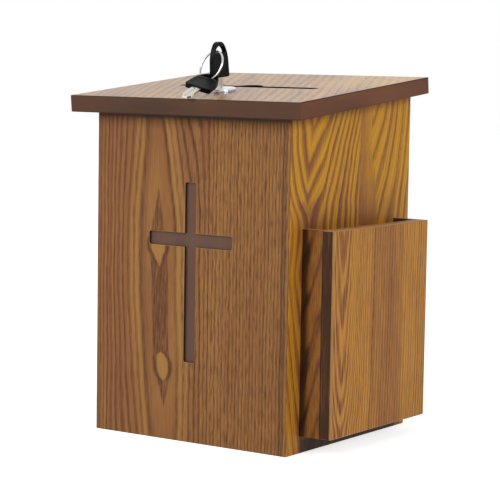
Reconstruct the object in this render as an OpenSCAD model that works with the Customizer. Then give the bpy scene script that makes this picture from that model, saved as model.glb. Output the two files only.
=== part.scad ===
// Prayer request box: a mitred wooden case with a sloping hinged lid, a letter slot, a cam lock,
// a routed cross on the front and a card pocket on the right side.
// Millimetres. The origin is the middle of the case's footprint on the surface that it stands on,
// +X to the right, +Y to the back, +Z up. The front faces -Y.

/* [Case] */
// Width of the case across the front
body_w = 208; // [180:1:300]
// Depth of the case from front to back
body_d = 200; // [180:1:300]
// Height of the front panel's top edge
front_h = 290; // [260:1:400]
// Fall of the lid towards the front, in degrees
lid_slope = 5.5; // [2:0.5:10]
// Thickness of the four walls
wall_t = 15; // [13:0.5:20]
// Thickness of the bottom board
floor_t = 12; // [9:0.5:20]
// Width of the small flat that eases each visible arris
ease = 0.6; // [0.3:0.1:1.5]

/* [Case joints] */
// Thickness of the splines glued across the mitres
spline_t = 3; // [2:0.5:4]
// Width of a spline
spline_w = 12; // [8:0.5:14]
// Height left solid above and below a spline
spline_stop = 20; // [16:1:40]
// Diameter of the bottom's dowels
dowel_d = 6; // [4:0.5:8]
// Length of a dowel
dowel_l = 28; // [20:1:36]
// Depth of a dowel in the wall
dowel_in_wall = 10; // [6:0.5:11]
// Distance from the case's corner to the nearest dowel
dowel_inset = 50; // [40:1:70]

/* [Cross] */
// Width of the cross's upright
cross_bar_w = 12; // [6:0.5:20]
// Height of the upright's lower end
cross_bottom_z = 71.3; // [40:0.1:100]
// Length of the upright
cross_h = 159; // [120:1:180]
// Width of the cross's arm
cross_arm_h = 12; // [6:0.5:20]
// Length of the arm
cross_arm_w = 90; // [60:1:120]
// Distance from the upright's top to the middle of the arm
cross_arm_drop = 50.7; // [30:0.1:70]
// Depth of the recess
cross_depth = 2.5; // [1:0.1:5]
// Corner radius left by the cutter
cross_corner_r = 2; // [0.5:0.1:2.8]

/* [Card pocket] */
// Clear depth of the pocket, from the wall to its panel
pocket_gap = 20.5; // [12:0.5:40]
// Thickness of the pocket's panel
pocket_t = 12; // [6:0.5:18]
// Distance from the case's front and back to the pocket's ends
pocket_inset = 20; // [16:1:60]
// Height of the pocket's lower edge
pocket_bottom_z = 15.5; // [5:0.5:40]
// Height of the pocket itself
pocket_h = 179.5; // [120:0.5:210]
// Thickness of the pocket's two end boards
pocket_end_t = 7; // [6:0.5:12]
// Thickness of the strip that closes the pocket below
pocket_strip_t = 7; // [4:0.5:12]
// Length of the screws that hold the pocket
pocket_screw_l = 30; // [24:1:34]

/* [Lid] */
// Thickness of the lid
lid_t = 15; // [12:0.5:20]
// Overhang of the lid past the front
lid_front_over = 15.5; // [5:0.5:25]
// Overhang of the lid past each side
lid_side_over = 19; // [5:0.5:25]
// Length of the letter slot
slot_l = 149; // [100:1:165]
// Width of the letter slot
slot_w = 9.5; // [6.5:0.5:12]
// Distance up the slope from the front face to the middle of the slot
slot_s = 87; // [76:1:110]
// Width of the half-round finger notch in the slot's rear side
slot_notch_d = 27; // [18:0.5:32]

/* [Hinges] */
// Length of a hinge
hinge_l = 38; // [30:1:60]
// Distance from the case's side to the middle of a hinge
hinge_inset = 40; // [36:1:60]
// Height of the leaf on the back panel
leaf_body_w = 14; // [12:0.5:20]
// Height of the leaf on the lid's rear edge
leaf_lid_w = 12.5; // [10:0.5:14]
// Thickness of a leaf
leaf_t = 1.1; // [0.8:0.1:2]
// Outer diameter of a knuckle
knuckle_d = 4.4; // [4:0.1:6]
// Length of the middle knuckle
knuckle_mid_l = 14; // [8:0.5:18]
// Diameter of the hinge pin
pin_d = 2.4; // [1.5:0.1:3]
// Distance from a hinge's middle to each of its screws
hinge_screw_off = 12; // [8:0.5:14]

/* [Lock] */
// Distance up the slope from the front face to the lock
lock_s = 44; // [40:0.5:50]
// Diameter of the chromed face
lock_face_d = 28; // [24:0.5:34]
// Height of the chromed face above the lid
lock_face_h = 3.4; // [2.4:0.1:5]
// Diameter of the barrel
barrel_d = 18.5; // [17:0.1:19.5]
// Distance across the barrel's two flats
barrel_flats = 16.4; // [15.5:0.1:18]
// Depth of the barrel below the top of the lid
barrel_l = 25; // [24:0.5:32]
// Diameter of the hole in the lid
lock_hole_d = 19.2; // [19:0.1:21]
// Diameter of the plug
plug_d = 13; // [11:0.1:13.6]
// Diameter of the plug's head
plug_head_d = 15; // [14:0.1:16]
// Thickness of the plug's head
plug_head_t = 1.5; // [0.8:0.1:2]
// Size of the hexagon nut across its flats
nut_af = 24; // [22.5:0.5:28]
// Thickness of the nut
nut_t = 4; // [2.5:0.1:5]
// Diameter of the washer
washer_d = 26; // [23:0.5:28]
// Thickness of the washer
washer_t = 1; // [0.6:0.1:1.5]
// Length of the cam from the lock's axis
cam_l = 27; // [22:0.5:28]
// Width of the cam
cam_w = 14; // [10:0.5:16]
// Thickness of the cam
cam_t = 2; // [1.5:0.1:3]
// Size of the square that drives the cam
cam_square = 7.5; // [6:0.1:8]

/* [Strike] */
// Width of the angle bracket behind the front panel
strike_w = 28; // [24:1:40]
// Depth of the bracket's level leg
strike_reach = 15; // [10:0.5:17]
// Height of the bracket's upright leg
strike_leg_h = 20; // [16:0.5:30]
// Thickness of the bracket
strike_t = 1.5; // [1:0.1:2]
// Height of the level leg's underside below the front panel's top edge
strike_drop = 7; // [6.5:0.1:7.5]
// Distance from the bracket's middle to each of its screws
strike_screw_off = 9; // [7:0.5:10]

/* [Keys] */
// Width of a key's head
head_w = 24; // [21:0.1:25]
// Height of a key's head
head_h = 31.5; // [30:0.1:33]
// Thickness of a key's head
head_t = 4.5; // [3.5:0.1:4.8]
// Half the width of the arch at the head's top
arch_r = 11.4; // [10:0.1:11.8]
// Height of the arch
arch_h = 19.2; // [17:0.1:22]
// Radius of the arch's top
arch_top_r = 7.8; // [6.5:0.1:9]
// Radius of the head's lower corners
head_corner_r = 2; // [1:0.1:3]
// Radius of the window's round top
window_r = 8.2; // [7.6:0.1:8.4]
// Distance from the head's top to the window's lower edge
window_drop = 9.6; // [9.3:0.1:9.8]
// Width of the blade
blade_w = 8.2; // [7:0.1:8.4]
// Thickness of the blade
blade_t = 2; // [1.5:0.1:2.2]
// Length of the blade below the head
blade_l = 23; // [20:0.5:24]
// Height of the standing key's head above the lid
key_stand_h = 12.6; // [11:0.1:14]
// Mean radius of the key ring
ring_r = 14; // [13.6:0.1:14.5]
// Diameter of the ring's wire
wire_d = 1.8; // [1.4:0.1:1.9]
// Lean of the ring from the lock's axis towards the front, in degrees
ring_tilt = 28.7; // [26:0.1:31]
// Turn of the ring about the line that it leans along, in degrees
ring_turn = -13.9; // [-16:0.1:-12]
// Turn of the hanging key about the lid's normal, in degrees
spare_yaw = 7.2; // [5:0.1:9]
// Roll of the hanging key about its own length, in degrees
spare_roll = 16; // [14:0.1:18]

/* [Hidden] */
$fn = 64;

// One overrun serves every cut, and reach goes past every piece
overrun = 1;
reach = 2 * (body_w + body_d + front_h);
// Radial clearance of a glued or driven piece, and of a part that turns
seat_gap = 0.05;
run_gap = 0.1;
// Space between moving pieces that pass each other
pass_gap = 0.3;
half_w = body_w / 2;
half_d = body_d / 2;
// Length of the lid's underside from the front face to the back, and the case's height at the back
slope_l = body_d / cos(lid_slope);
back_h = front_h + body_d * tan(lid_slope);
// Splines sit nearer to the inside of the mitre
spline_depth_share = 0.6;
spline_depth = spline_depth_share * wall_t;
// Cross
cross_arm_z = cross_bottom_z + cross_h - cross_arm_drop;
// Pocket: its panel's inner face, its length and its screws' distance from the top and the bottom
pocket_x = half_w + pocket_gap;
pocket_l = body_d - 2 * pocket_inset;
pocket_half = pocket_l / 2;
pocket_end_z_inset = 30;
// Woodscrews: shank, head and the depth of the head's cone
screw_d = 3;
screw_head_d = 5.6;
screw_head_h = 1.7;
small_screw_d = 2.2;
small_screw_head_d = 4.2;
small_screw_head_h = 1;
hinge_body_screw_l = 12;
hinge_lid_screw_l = 14;
strike_screw_l = 12;
screw_drive_w = 0.8;
screw_tip_l = 3;
// Hinge axis, behind the back panel at the height of the lid's joint
hinge_y = half_d + knuckle_d / 2 + pass_gap;
hinge_z = back_h;
hinge_xs = [-half_w + hinge_inset, half_w - hinge_inset];
knuckle_side_l = (hinge_l - knuckle_mid_l) / 2 - pass_gap;
notch_r = knuckle_d / 2 + pass_gap;
// The hinge axis seen in the lid's own directions: past the rear edge, and above the underside
hinge_past = (hinge_y - half_d) * cos(lid_slope);
hinge_rise = -(hinge_y - half_d) * sin(lid_slope);
// Strike: its upright leg's back face and its level leg's underside
strike_y = -half_d + wall_t;
strike_z = front_h - strike_drop;
// Lock
keyway_depth = lock_face_h + blade_l - key_stand_h + overrun;
keyway_gap = 0.12;
lock_face_bevel = 1;
cam_screw_d = 4;
cam_screw_head_d = 11;
cam_screw_head_h = 2.4;
cam_screw_l = 10;
washer_gap = 0.2;
// Key heads: the straight sides end where the arch's two side arcs spring, and a smaller arc joins these on top
arch_v = head_h - arch_h;
arch_rise = arch_h - arch_top_r;
arch_side_r = (pow(arch_r, 2) + pow(arch_rise, 2) - pow(arch_top_r, 2)) / (2 * (arch_r - arch_top_r));
arch_join = arch_side_r * arch_rise / (arch_side_r - arch_top_r);
window_v = head_h - window_drop;
window_sink = 2;
window_centre_v = window_v - window_sink;
window_bulge_r = 14;
window_bulge = 0.5;
panel_depth = 0.35;
panel_margin = 3.6;
tang_l = 13;
groove_w = 1.8;
groove_depth = 0.5;
tooth_depth = 1;
tooth_pitch = 3;
// The ring passes the standing key's window at this place, from the head's middle and its base
ring_u = -5.2;
ring_lift = 0.6;
ring_v = window_v + wire_d / 2 + ring_lift;
ring_n = key_stand_h + ring_v;
// The hanging key's window lies on the ring at this angle from the ring's top
spare_angle = 158.2;
spare_u = 1.27;
spare_v = 25.71;
spare_clear = 0.35;
spare_n = ring_n - ring_r * sin(spare_angle) * sin(ring_turn) * sin(ring_tilt)
    - ring_r * (1 - cos(spare_angle)) * cos(ring_tilt);
// The hanging key tilts until the lower corner of its blade is just above the lid
spare_arm = spare_v + blade_l;
spare_side = (blade_w / 2 - spare_u) * sin(spare_roll) + blade_t / 2 * cos(spare_roll);
spare_pitch = asin((spare_n - spare_clear) / norm([spare_arm, spare_side])) - atan2(spare_side, spare_arm);

// Colours of the finishes
veneer_front = [0.5, 0.32, 0.18];
veneer_side = [0.58, 0.38, 0.16];
veneer_lid = [0.66, 0.5, 0.36];
veneer_inside = [0.62, 0.46, 0.3];
spline_wood = [0.8, 0.66, 0.45];
steel = [0.62, 0.62, 0.64];
chrome = [0.82, 0.82, 0.85];
brass = [0.8, 0.65, 0.35];
black_plastic = [0.06, 0.06, 0.07];
nickel = [0.75, 0.73, 0.68];

// The lid's own directions: x across, y up the slope from the front face, z out of the underside
module on_lid() {
    translate([0, -half_d, front_h]) rotate([lid_slope, 0, 0]) children();
}

// On the lid's top at the lock
module on_lock() {
    on_lid() translate([0, lock_s, lid_t]) children();
}

// A rectangle with its four corners eased
module eased_rect(a, b) {
    polygon([[ease, 0], [a - ease, 0], [a, ease], [a, b - ease],
        [a - ease, b], [ease, b], [0, b - ease], [0, ease]]);
}

// A board with every arris eased
module eased_board(size) {
    intersection() {
        linear_extrude(size.z) eased_rect(size.x, size.y);
        translate([0, size.y, 0]) rotate([90, 0, 0]) linear_extrude(size.y) eased_rect(size.x, size.z);
        rotate([90, 0, 90]) linear_extrude(size.x) eased_rect(size.y, size.z);
    }
}

// A countersunk woodscrew along +Z, its head's face at zero and its point at length
module screw(d, head_d, head_h, length) {
    difference() {
        rotate_extrude() polygon([[0, 0], [head_d / 2, 0], [d / 2, head_h],
            [d / 2, length - screw_tip_l], [0, length]]);
        for (turn = [0, 90])
            rotate([0, 0, turn])
                translate([-head_d / 4, -screw_drive_w / 2, -overrun])
                    cube([head_d / 2, screw_drive_w, overrun + head_h / 2]);
    }
}

// The hole that such a screw sits in
module screw_hole(d, head_d, head_h, length) {
    r = d / 2 + seat_gap;
    head_r = head_d / 2 + seat_gap;
    rotate_extrude() polygon([[0, -overrun], [head_r, -overrun], [head_r, 0], [r, head_h],
        [r, length - screw_tip_l], [0, length + seat_gap]]);
}

// Walls: each lies along X with its outer face at y = 0, mitred at both ends
module wall_blank(length) {
    intersection() {
        linear_extrude(back_h) polygon([[-length / 2 + ease, 0], [length / 2 - ease, 0],
            [length / 2 - ease / 2, ease / 2], [length / 2 - wall_t, wall_t],
            [-length / 2 + wall_t, wall_t], [-length / 2 + ease / 2, ease / 2]]);
        translate([-length / 2, 0, 0]) rotate([90, 0, 90]) linear_extrude(length)
            polygon([[0, ease], [ease, 0], [wall_t, 0], [wall_t, back_h], [0, back_h]]);
    }
}

module at_front() { translate([0, -half_d, 0]) children(); }
module at_back() { translate([0, half_d, 0]) rotate([0, 0, 180]) children(); }
module at_right() { translate([half_w, 0, 0]) rotate([0, 0, 90]) children(); }
module at_left() { translate([-half_w, 0, 0]) rotate([0, 0, -90]) children(); }

// Everything above the lid's underside
module above_case() {
    on_lid() translate([-reach / 2, -reach / 2, 0]) cube(reach);
}

// One spline in each vertical corner, across the mitre
module splines(gap) {
    for (side = [-1, 1])
        for (end = [-1, 1]) {
            corner_h = end < 0 ? front_h : back_h - wall_t * tan(lid_slope);
            translate([side * (half_w - spline_depth), end * (half_d - spline_depth), spline_stop - gap])
                rotate([0, 0, side * end * -45])
                    translate([-spline_w / 2 - gap, -spline_t / 2 - gap, 0])
                        cube([spline_w + 2 * gap, spline_t + 2 * gap, corner_h - 2 * spline_stop + 2 * gap]);
        }
}

// Two dowels along each edge of the bottom
module dowel_row(length, r, gap) {
    for (x = [-length / 2 + dowel_inset, length / 2 - dowel_inset])
        translate([x, wall_t - dowel_in_wall - gap, floor_t / 2])
            rotate([-90, 0, 0]) cylinder(r = r, h = dowel_l + 2 * gap);
}

module dowels(r, gap) {
    at_front() dowel_row(body_w, r, gap);
    at_back() dowel_row(body_w, r, gap);
    at_right() dowel_row(body_d, r, gap);
    at_left() dowel_row(body_d, r, gap);
}

module wall_cuts() {
    above_case();
    splines(seat_gap);
    dowels(dowel_d / 2 + seat_gap, seat_gap);
}

// One arm of the cross, with the corners that the cutter leaves
module cross_arm(width, height) {
    r = cross_corner_r;
    translate([-width / 2 + r, -overrun, -height / 2]) cube([width - 2 * r, overrun + cross_depth, height]);
    translate([-width / 2, -overrun, -height / 2 + r]) cube([width, overrun + cross_depth, height - 2 * r]);
    for (x = [-1, 1])
        for (z = [-1, 1])
            translate([x * (width / 2 - r), cross_depth, z * (height / 2 - r)])
                rotate([90, 0, 0]) cylinder(r = r, h = cross_depth + overrun);
}

module front_panel() {
    color(veneer_front) difference() {
        at_front() wall_blank(body_w);
        wall_cuts();
        at_front() translate([0, 0, cross_bottom_z + cross_h / 2]) cross_arm(cross_bar_w, cross_h);
        at_front() translate([0, 0, cross_arm_z]) cross_arm(cross_arm_w, cross_arm_h);
        strike_screw_places() screw_hole(screw_d, screw_head_d, screw_head_h, strike_screw_l);
    }
}

module back_panel() {
    color(veneer_side) difference() {
        at_back() wall_blank(body_w);
        wall_cuts();
        hinge_body_screw_places()
            screw_hole(small_screw_d, small_screw_head_d, small_screw_head_h, hinge_body_screw_l);
    }
}

module left_panel() {
    color(veneer_side) difference() {
        at_left() wall_blank(body_d);
        wall_cuts();
    }
}

module right_panel() {
    color(veneer_side) difference() {
        at_right() wall_blank(body_d);
        wall_cuts();
        pocket_screw_places() screw_hole(screw_d, screw_head_d, screw_head_h, pocket_screw_l);
    }
}

module bottom_panel() {
    color(veneer_inside) difference() {
        translate([-half_w + wall_t, -half_d + wall_t, 0])
            cube([body_w - 2 * wall_t, body_d - 2 * wall_t, floor_t]);
        dowels(dowel_d / 2 + seat_gap, seat_gap);
    }
}

module corner_splines() { color(spline_wood) splines(0); }

module bottom_dowels() { color(spline_wood) dowels(dowel_d / 2, 0); }

// Card pocket on the right side
module pocket_panel() {
    color(veneer_side) translate([pocket_x, -pocket_half, pocket_bottom_z])
        eased_board([pocket_t, pocket_l, pocket_h]);
}

module pocket_end(y) {
    color(veneer_side) difference() {
        translate([half_w, y, pocket_bottom_z]) cube([pocket_gap, pocket_end_t, pocket_h]);
        pocket_screw_places() screw_hole(screw_d, screw_head_d, screw_head_h, pocket_screw_l);
    }
}

module pocket_front_end() { pocket_end(-pocket_half); }
module pocket_rear_end() { pocket_end(pocket_half - pocket_end_t); }

module pocket_bottom() {
    color(veneer_side) translate([half_w, -pocket_half + pocket_end_t, pocket_bottom_z])
        cube([pocket_gap, pocket_l - 2 * pocket_end_t, pocket_strip_t]);
}

// Each screw goes from inside the case through the wall into an end board
module pocket_screw_places() {
    for (side = [-1, 1])
        for (z = [pocket_bottom_z + pocket_end_z_inset, pocket_bottom_z + pocket_h - pocket_end_z_inset])
            translate([half_w - wall_t, side * (pocket_half - pocket_end_t / 2), z])
                rotate([0, 90, 0]) children();
}

module pocket_screws() {
    color(steel) pocket_screw_places() screw(screw_d, screw_head_d, screw_head_h, pocket_screw_l);
}

// Hinges: surface leaves on the back panel and on the lid's rear edge, with the pin behind the joint
module along_pin(x) {
    translate([x, hinge_y, hinge_z]) rotate([0, 90, 0]) children();
}

module hinge_body_leaf(x) {
    color(steel) difference() {
        union() {
            translate([x - hinge_l / 2, half_d, hinge_z - leaf_body_w]) cube([hinge_l, leaf_t, leaf_body_w]);
            for (side = [-1, 1])
                along_pin(x + side * (hinge_l - knuckle_side_l) / 2 - knuckle_side_l / 2)
                    cylinder(d = knuckle_d, h = knuckle_side_l);
        }
        translate([x - knuckle_mid_l / 2 - pass_gap, half_d - overrun, hinge_z - notch_r])
            cube([knuckle_mid_l + 2 * pass_gap, knuckle_d + overrun, notch_r + overrun]);
        along_pin(x - hinge_l / 2 - overrun) cylinder(r = pin_d / 2 + seat_gap, h = hinge_l + 2 * overrun);
        hinge_body_screw_places()
            screw_hole(small_screw_d, small_screw_head_d, small_screw_head_h, hinge_body_screw_l);
    }
}

module hinge_pin(x) {
    color(steel) along_pin(x - hinge_l / 2) cylinder(d = pin_d, h = hinge_l);
}

module hinge_body_screw_places() {
    for (x = hinge_xs)
        for (side = [-1, 1])
            translate([x + side * hinge_screw_off, half_d + leaf_t, hinge_z - leaf_body_w + small_screw_head_d])
                rotate([90, 0, 0]) children();
}

module hinge_lid_leaf(x) {
    color(steel) on_lid() difference() {
        union() {
            translate([x - hinge_l / 2, slope_l, 0]) cube([hinge_l, leaf_t, leaf_lid_w]);
            translate([x - knuckle_mid_l / 2, slope_l, hinge_rise])
                cube([knuckle_mid_l, leaf_t, leaf_lid_w]);
            translate([x - knuckle_mid_l / 2, slope_l + hinge_past, hinge_rise])
                rotate([0, 90, 0]) cylinder(d = knuckle_d, h = knuckle_mid_l);
        }
        for (start = [x - hinge_l / 2 - overrun, x + knuckle_mid_l / 2])
            translate([start, slope_l - overrun, -overrun])
                cube([(hinge_l - knuckle_mid_l) / 2 + overrun, leaf_t + 2 * overrun, overrun + notch_r]);
        translate([x - hinge_l / 2, slope_l + hinge_past, hinge_rise])
            rotate([0, 90, 0]) cylinder(r = pin_d / 2 + run_gap, h = hinge_l);
        hinge_lid_screw_places()
            screw_hole(small_screw_d, small_screw_head_d, small_screw_head_h, hinge_lid_screw_l);
    }
}

module hinge_lid_screw_places() {
    for (x = hinge_xs)
        for (side = [-1, 1])
            translate([x + side * hinge_screw_off, slope_l + leaf_t, (leaf_lid_w + notch_r) / 2])
                rotate([90, 0, 0]) children();
}

module left_hinge_body_leaf() { hinge_body_leaf(hinge_xs[0]); }
module right_hinge_body_leaf() { hinge_body_leaf(hinge_xs[1]); }
module left_hinge_pin() { hinge_pin(hinge_xs[0]); }
module right_hinge_pin() { hinge_pin(hinge_xs[1]); }
module left_hinge_lid_leaf() { hinge_lid_leaf(hinge_xs[0]); }
module right_hinge_lid_leaf() { hinge_lid_leaf(hinge_xs[1]); }

module hinge_body_screws() {
    color(steel) hinge_body_screw_places()
        screw(small_screw_d, small_screw_head_d, small_screw_head_h, hinge_body_screw_l);
}

module hinge_lid_screws() {
    color(steel) on_lid() hinge_lid_screw_places()
        screw(small_screw_d, small_screw_head_d, small_screw_head_h, hinge_lid_screw_l);
}

// Strike: an angle bracket on the front panel's inner face, which the cam turns under
module strike_screw_places() {
    for (side = [-1, 1])
        translate([side * strike_screw_off, strike_y + strike_t, strike_z + strike_t - strike_leg_h + screw_head_d])
            rotate([90, 0, 0]) children();
}

module strike_plate() {
    color(steel) difference() {
        union() {
            translate([-strike_w / 2, strike_y, strike_z + strike_t - strike_leg_h])
                cube([strike_w, strike_t, strike_leg_h]);
            translate([-strike_w / 2, strike_y, strike_z]) cube([strike_w, strike_reach, strike_t]);
        }
        strike_screw_places() screw_hole(screw_d, screw_head_d, screw_head_h, strike_screw_l);
    }
}

module strike_screws() {
    color(steel) strike_screw_places() screw(screw_d, screw_head_d, screw_head_h, strike_screw_l);
}

// Lid
module lid_panel() {
    color(veneer_lid) on_lid() difference() {
        translate([-half_w - lid_side_over, -lid_front_over, 0])
            eased_board([body_w + 2 * lid_side_over, slope_l + lid_front_over, lid_t]);
        translate([0, slot_s, -overrun]) {
            translate([-(slot_l - slot_w) / 2, -slot_w / 2, 0])
                cube([slot_l - slot_w, slot_w, lid_t + 2 * overrun]);
            for (side = [-1, 1])
                translate([side * (slot_l - slot_w) / 2, 0, 0]) cylinder(d = slot_w, h = lid_t + 2 * overrun);
            intersection() {
                cylinder(d = slot_notch_d, h = lid_t + 2 * overrun);
                translate([-slot_notch_d, 0, 0])
                    cube([2 * slot_notch_d, slot_notch_d, lid_t + 2 * overrun]);
            }
        }
        translate([0, lock_s, -overrun]) cylinder(d = lock_hole_d, h = lid_t + 2 * overrun);
        hinge_lid_screw_places()
            screw_hole(small_screw_d, small_screw_head_d, small_screw_head_h, hinge_lid_screw_l);
    }
}

// Lock: heights are counted from the lid's top
module barrel_shape(gap, z, h) {
    translate([0, 0, z]) intersection() {
        cylinder(r = barrel_d / 2 + gap, h = h);
        translate([-barrel_flats / 2 - gap, -barrel_d, 0]) cube([barrel_flats + 2 * gap, 2 * barrel_d, h]);
    }
}

module lock_body() {
    color(chrome) on_lock() difference() {
        union() {
            rotate_extrude() polygon([[0, 0], [lock_face_d / 2, 0],
                [lock_face_d / 2, lock_face_h - lock_face_bevel],
                [lock_face_d / 2 - lock_face_bevel, lock_face_h], [0, lock_face_h]]);
            barrel_shape(0, -barrel_l, barrel_l + lock_face_h / 2);
        }
        translate([0, 0, -barrel_l - overrun])
            cylinder(r = plug_d / 2 + run_gap, h = barrel_l + lock_face_h + 2 * overrun);
        translate([0, 0, lock_face_h - plug_head_t - run_gap])
            cylinder(r = plug_head_d / 2 + run_gap, h = plug_head_t + run_gap + overrun);
    }
}

module lock_washer() {
    color(steel) on_lock() difference() {
        translate([0, 0, -lid_t - washer_t]) cylinder(d = washer_d, h = washer_t);
        barrel_shape(washer_gap / 2, -lid_t - washer_t - overrun, washer_t + 2 * overrun);
    }
}

module lock_nut() {
    nut_z = -lid_t - washer_t - nut_t;
    color(brass) on_lock() difference() {
        translate([0, 0, nut_z]) cylinder(d = nut_af / cos(30), h = nut_t, $fn = 6);
        translate([0, 0, nut_z - overrun])
            cylinder(r = barrel_d / 2 + seat_gap, h = nut_t + 2 * overrun);
    }
}

module lock_plug() {
    color(chrome) on_lock() difference() {
        union() {
            translate([0, 0, -barrel_l - run_gap])
                cylinder(d = plug_d, h = barrel_l + run_gap + lock_face_h - plug_head_t + overrun / 2);
            translate([0, 0, lock_face_h - plug_head_t]) cylinder(d = plug_head_d, h = plug_head_t);
            translate([-cam_square / 2, -cam_square / 2, -barrel_l - run_gap - cam_t])
                cube([cam_square, cam_square, cam_t + overrun]);
        }
        translate([-blade_t / 2 - keyway_gap, -blade_w / 2 - keyway_gap, lock_face_h - keyway_depth])
            cube([blade_t + 2 * keyway_gap, blade_w + 2 * keyway_gap, keyway_depth + overrun]);
        translate([0, 0, -barrel_l - run_gap - cam_t - overrun])
            cylinder(r = cam_screw_d / 2 + seat_gap, h = cam_screw_l + overrun);
    }
}

// The cam points to the right while the lock is open, and to the front when it is locked
module lock_cam() {
    color(steel) on_lock() translate([0, 0, -barrel_l - run_gap - cam_t]) difference() {
        union() {
            cylinder(d = cam_w, h = cam_t);
            translate([0, -cam_w / 2, 0]) cube([cam_l, cam_w, cam_t]);
        }
        translate([-cam_square / 2 - seat_gap, -cam_square / 2 - seat_gap, -overrun])
            cube([cam_square + 2 * seat_gap, cam_square + 2 * seat_gap, cam_t + 2 * overrun]);
    }
}

module lock_cam_screw() {
    under = -barrel_l - run_gap - cam_t;
    color(steel) on_lock() difference() {
        union() {
            translate([0, 0, under - cam_screw_head_h]) cylinder(d = cam_screw_head_d, h = cam_screw_head_h);
            translate([0, 0, under - cam_screw_head_h / 2])
                cylinder(d = cam_screw_d, h = cam_screw_l - overrun + cam_screw_head_h / 2);
        }
        translate([-cam_screw_head_d / 2, -screw_drive_w / 2, under - cam_screw_head_h - overrun])
            cube([cam_screw_head_d, screw_drive_w, overrun + cam_screw_head_h / 2]);
    }
}

// Keys: u across the head, v from the head's base to its top, w through its thickness
module head_outline() {
    base = head_w / 2;
    r = head_corner_r;
    polygon([[-base + r, 0], [base - r, 0], [base, r], [arch_r, arch_v], [-arch_r, arch_v], [-base, r]]);
    for (side = [-1, 1])
        translate([side * (base - r), r]) circle(r);
    intersection() {
        translate([arch_r - arch_side_r, arch_v]) circle(arch_side_r);
        translate([arch_side_r - arch_r, arch_v]) circle(arch_side_r);
        translate([-arch_r, arch_v]) square([2 * arch_r, arch_join]);
    }
    translate([0, arch_v + arch_rise]) circle(arch_top_r);
}

module window_outline() {
    difference() {
        intersection() {
            translate([0, window_centre_v]) circle(window_r);
            translate([-window_r, window_v]) square([2 * window_r, window_r]);
        }
        translate([0, window_v + window_bulge - window_bulge_r]) circle(window_bulge_r);
    }
}

module key_head_solid() {
    panel_w = head_w - 2 * panel_margin;
    panel_h = window_v - 2 * panel_margin;
    color(black_plastic) difference() {
        translate([0, 0, -head_t / 2]) linear_extrude(head_t) difference() {
            head_outline();
            window_outline();
        }
        for (side = [0, 180])
            rotate([0, side, 0]) translate([-panel_w / 2, panel_margin, head_t / 2 - panel_depth])
                cube([panel_w, panel_h, panel_depth + overrun]);
        translate([-blade_w / 2, -overrun, -blade_t / 2]) cube([blade_w, tang_l + overrun, blade_t]);
    }
}

// The blade with its cuts along one edge, its grooves and its tang in the head
module key_blade_solid() {
    half = blade_w / 2;
    teeth = floor((blade_l - 2 * tooth_pitch) / tooth_pitch);
    color(nickel) difference() {
        translate([0, 0, -blade_t / 2]) linear_extrude(blade_t) difference() {
            polygon([[-half, tang_l], [half, tang_l], [half, -blade_l + half], [half / 2, -blade_l],
                [-half / 2, -blade_l], [-half, -blade_l + half]]);
            for (i = [1 : teeth])
                translate([half, -blade_l + half + (i - 0.5) * tooth_pitch])
                    polygon([[overrun, -tooth_pitch / 2], [-tooth_depth, -tooth_pitch / 8],
                        [-tooth_depth, tooth_pitch / 8], [overrun, tooth_pitch / 2]]);
        }
        for (side = [0, 180])
            rotate([0, side, 0]) translate([-groove_w / 2, -blade_l - overrun, blade_t / 2 - groove_depth])
                cube([groove_w, blade_l, groove_depth + overrun]);
    }
}

module standing() {
    on_lock() translate([0, 0, key_stand_h]) rotate([90, 0, 90]) children();
}

// The ring hangs in the standing key's window: x along its wire there, z up along its diameter
module on_ring() {
    on_lock() translate([0, ring_u, ring_n])
        rotate([-ring_tilt, 0, 0]) rotate([0, 0, ring_turn]) children();
}

module hanging() {
    on_ring() translate([ring_r * sin(spare_angle), 0, ring_r * (cos(spare_angle) - 1)])
        rotate([0, 0, -ring_turn]) rotate([ring_tilt, 0, 0])
            rotate([0, 0, spare_yaw]) rotate([spare_pitch, 0, 0]) rotate([0, spare_roll, 0])
                translate([-spare_u, -spare_v, 0]) children();
}

module key_head() { standing() key_head_solid(); }
module key_blade() { standing() key_blade_solid(); }

module key_ring() {
    color(steel) on_ring() translate([0, 0, -ring_r]) rotate([90, 0, 0])
        rotate_extrude() translate([ring_r, 0]) circle(wire_d / 2);
}

module spare_key_head() { hanging() key_head_solid(); }
module spare_key_blade() { hanging() key_blade_solid(); }

front_panel();
back_panel();
left_panel();
right_panel();
bottom_panel();
corner_splines();
bottom_dowels();
pocket_panel();
pocket_front_end();
pocket_rear_end();
pocket_bottom();
pocket_screws();
left_hinge_body_leaf();
right_hinge_body_leaf();
left_hinge_pin();
right_hinge_pin();
hinge_body_screws();
strike_plate();
strike_screws();
lid_panel();
left_hinge_lid_leaf();
right_hinge_lid_leaf();
hinge_lid_screws();
lock_body();
lock_washer();
lock_nut();
lock_plug();
lock_cam();
lock_cam_screw();
key_head();
key_blade();
key_ring();
spare_key_head();
spare_key_blade();
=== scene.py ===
# Looks of a prayer request box: veneered case, sloping lid, cam lock with two keys, card pocket.
# Places are in metres in the CAD frame: +X to the right, +Y to the back, +Z up, the front faces -Y.
# Wood figures are written in millimetres.
import math

import bmesh
import bpy
from bpy.props import FloatProperty, FloatVectorProperty, PointerProperty
from mathutils import Matrix, Vector


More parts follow.
